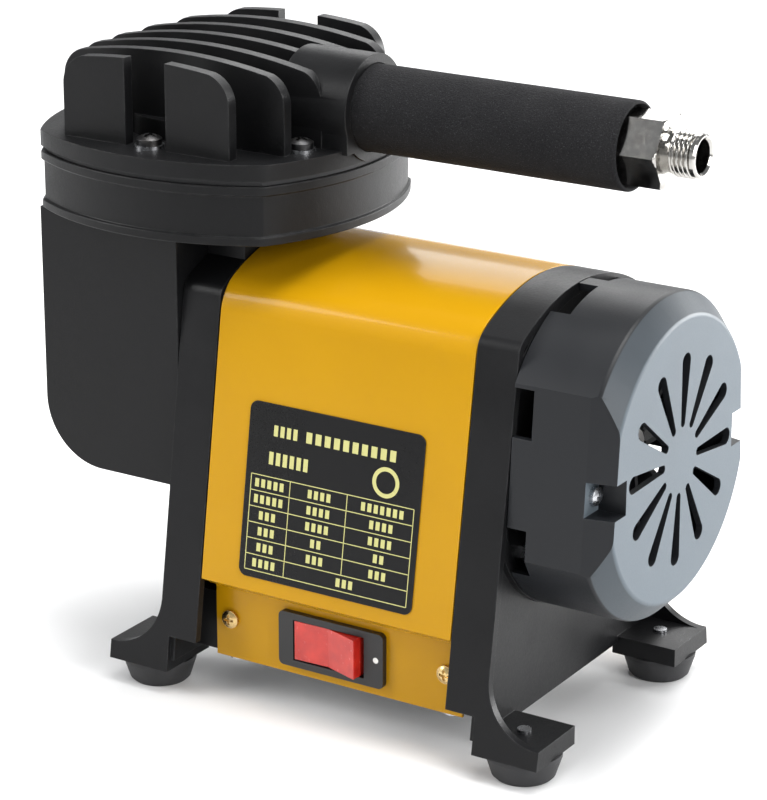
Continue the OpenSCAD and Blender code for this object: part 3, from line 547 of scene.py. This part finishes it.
PANEL_U = Vector((1, 0, 0))
PANEL_V = Vector((0, math.sin(LEAN), math.cos(LEAN)))
PANEL_N = Vector((0, -math.cos(LEAN), math.sin(LEAN)))
PLATE_W, PLATE_H, PLATE_T = 0.0584, 0.0516, 0.0004
PLATE_MID = PANEL_FOOT + PANEL_V * 0.030


def on_plate(u, v, up=0.0):
    """A point of the plate: u and v run from 0 to 1, from its upper left corner."""
    return (PLATE_MID + PANEL_U * (u - 0.5) * PLATE_W + PANEL_V * (0.5 - v) * PLATE_H
            + PANEL_N * (PLATE_T + up))


def slab(bm, corners, thickness=0.00004):
    """A thin raised patch of ink over the corners, which lie on the plate."""
    low = [bm.verts.new(c - PANEL_N * thickness) for c in corners]
    top = [bm.verts.new(c + PANEL_N * thickness) for c in corners]
    bm.faces.new(top)
    bm.faces.new(low[::-1])
    count = len(corners)
    for i in range(count):
        k = (i + 1) % count
        bm.faces.new((low[i], low[k], top[k], top[i]))


def bar(bm, u0, v0, u1, v1):
    slab(bm, [on_plate(u0, v0), on_plate(u0, v1), on_plate(u1, v1), on_plate(u1, v0)])


def dashes(bm, u_mid, v_mid, count, width, height):
    """A row of plain blocks where the real plate has lettering."""
    pitch = width / count
    for i in range(count):
        u = u_mid - width / 2 + pitch * i
        bar(bm, u, v_mid - height / 2, u + pitch * 0.62, v_mid + height / 2)


def data_plate_print():
    bm = bmesh.new()
    left, right, top, bottom = 0.035, 0.968, 0.412, 0.958
    columns = (0.263, 0.592)
    rows = 6
    line_u, line_v = 0.0042, 0.0048
    row_h = (bottom - top) / rows
    for i in range(rows + 1):
        v = top + row_h * i
        bar(bm, left, v - line_v / 2, right, v + line_v / 2)
    for u, v_end in ((left, bottom), (columns[0], bottom), (columns[1], bottom - row_h),
                     (right, bottom)):
        bar(bm, u - line_u / 2, top, u + line_u / 2, v_end)
    dashes(bm, 0.222, 0.148, 4, 0.15, 0.062)
    dashes(bm, 0.60, 0.148, 10, 0.53, 0.062)
    dashes(bm, 0.25, 0.305, 6, 0.24, 0.072)
    label_widths = (5, 5, 3, 3, 3, 4)
    left_values = (4, 4, 4, 2, 3)
    right_values = (7, 4, 4, 2, 3)
    glyph, tall = 0.036, row_h * 0.52
    for i, count in enumerate(label_widths):
        dashes(bm, 0.15, top + row_h * (i + 0.5), count, count * glyph, tall)
    for i, count in enumerate(left_values):
        dashes(bm, 0.44, top + row_h * (i + 0.5), count, count * glyph, tall)
    for i, count in enumerate(right_values):
        dashes(bm, 0.80, top + row_h * (i + 0.5), count, count * glyph, tall)
    dashes(bm, 0.62, bottom - row_h / 2, 3, 3 * glyph, tall)
    ring_steps = 48
    for i in range(ring_steps):
        ends = [2 * math.pi * (i + k) / ring_steps for k in (0, 1)]
        corners = [on_plate(0.80 + r / PLATE_W * math.cos(a), 0.30 + r / PLATE_H * math.sin(a))
                   for r, a in ((0.0032, ends[0]), (0.0044, ends[0]), (0.0044, ends[1]),
                                (0.0032, ends[1]))]
        slab(bm, corners)
    ink = print_ink("ink_pale", (0.55, 0.53, 0.2))
    new_piece("plate_print", mesh_from(bm, "plate_print"), "housing", "plate_black", ink)


# ---------------------------------------------------------------- switch

def switch_dot():
    """The small white dot beside the rocker."""
    lo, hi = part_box("switch_housing")
    mid = Vector((MOTOR_X + 0.0144, lo.y, (lo.z + hi.z) / 2 + 0.0002))
    radius, proud = 0.0009, 0.00008
    bm = lathe([(0.0004, 0.00001), (0.0004, radius), (0, radius), (-proud, radius * 0.7),
                (-proud, 0.00001)], Vector((0, 0, 0)), axis="Z", steps=32)
    turn = Matrix.Rotation(math.radians(-90), 4, "X")
    bmesh.ops.transform(bm, matrix=Matrix.Translation(mid) @ turn, verts=bm.verts)
    ink = print_ink("ink_white", (0.75, 0.75, 0.73))
    new_piece("switch_dot", mesh_from(bm, "switch_dot"), "housing", "switch_black", ink, smooth=40)


foam_grip()
outlet_fitting()
data_plate_print()
switch_dot()

# ---------------------------------------------------------------- camera, floor and light

CAM_AZIMUTH = math.radians(32.026)
CAM_ELEVATION = math.radians(19.041)
CAM_ROLL = math.radians(0.159)
CAM_DISTANCE = 0.8810
CAM_TARGET = Vector((0.00185, 0, 0.08502))
CAM_LENS = 135.26

back = Vector((math.sin(CAM_AZIMUTH) * math.cos(CAM_ELEVATION),
               -math.cos(CAM_AZIMUTH) * math.cos(CAM_ELEVATION), math.sin(CAM_ELEVATION)))
camera_data = bpy.data.cameras.new("camera")
camera_data.lens = CAM_LENS
camera_data.sensor_width = 36
camera = bpy.data.objects.new("camera", camera_data)
bpy.context.scene.collection.objects.link(camera)
camera.location = CAM_TARGET + back * CAM_DISTANCE
camera.rotation_mode = "QUATERNION"
camera.rotation_quaternion = (-back).to_track_quat("-Z", "Y") @ Matrix.Rotation(
    CAM_ROLL, 3, "Z").to_quaternion()
bpy.context.scene.camera = camera


def studio_floor():
    """A pale floor that curves up into a low wall far behind the object."""
    flat, bend, rise = 2.2, 0.8, 1.6
    profile = [(0, 0), (0.6, 0), (flat, 0)]
    profile += [(flat + bend * math.sin(t), bend * (1 - math.cos(t)))
                for t in [math.pi / 2 * i / 12 for i in range(1, 13)]]
    profile.append((flat + bend, rise))
    bm = bmesh.new()
    steps = 96
    rings = [[bm.verts.new((r * math.cos(2 * math.pi * i / steps),
                            r * math.sin(2 * math.pi * i / steps), z))
              for i in range(steps)] for r, z in profile[1:]]
    centre = bm.verts.new((0, 0, 0))
    for i in range(steps):
        k = (i + 1) % steps
        bm.faces.new((centre, rings[0][i], rings[0][k]))
        for a, b in zip(rings, rings[1:]):
            bm.faces.new((a[i], b[i], b[k], a[k]))
    mesh = mesh_from(bm, "floor")
    mesh.shade_smooth()
    floor = bpy.data.objects.new("floor", mesh)
    bpy.context.scene.collection.objects.link(floor)
    n = Nodes("floor_pale")
    cloud = n.noise(3, 3)
    n.set(Base_Color=n.mix(cloud, (0.78, 0.78, 0.78), (0.82, 0.82, 0.82)),
          Roughness=n.ramp(cloud, 0.3, 0.7, 0.65, 0.75))
    paint(floor, n.mat)


def area_light(name, place, target, size, power, colour=(1, 1, 1)):
    data = bpy.data.lights.new(name, "AREA")
    data.shape = "RECTANGLE"
    data.size, data.size_y = size
    data.energy = power
    data.color = colour
    light = bpy.data.objects.new(name, data)
    bpy.context.scene.collection.objects.link(light)
    light.location = place
    light.rotation_mode = "QUATERNION"
    light.rotation_quaternion = (Vector(target) - Vector(place)).to_track_quat("-Z", "Y")
    return light


studio_floor()
OBJECT = (0, 0, 0.09)
area_light("softbox_top", (0.15, 0.1, 1.25), OBJECT, (0.9, 0.7), 19)
area_light("softbox_left", (-1.0, -0.75, 0.75), OBJECT, (0.6, 0.8), 12)
area_light("softbox_right", (1.15, -0.35, 0.6), OBJECT, (0.5, 0.7), 10)
area_light("softbox_back", (-0.25, 1.1, 0.8), OBJECT, (1.1, 0.7), 8)
area_light("softbox_far_right", (0.75, 1.15, 0.3), OBJECT, (0.9, 0.5), 22)

world = bpy.data.worlds.new("studio")
world.use_nodes = True
background = world.node_tree.nodes["Background"]
background.inputs["Color"].default_value = (0.95, 0.97, 1, 1)
background.inputs["Strength"].default_value = 0.3
bpy.context.scene.world = world
bpy.context.scene.view_settings.view_transform = "Standard"
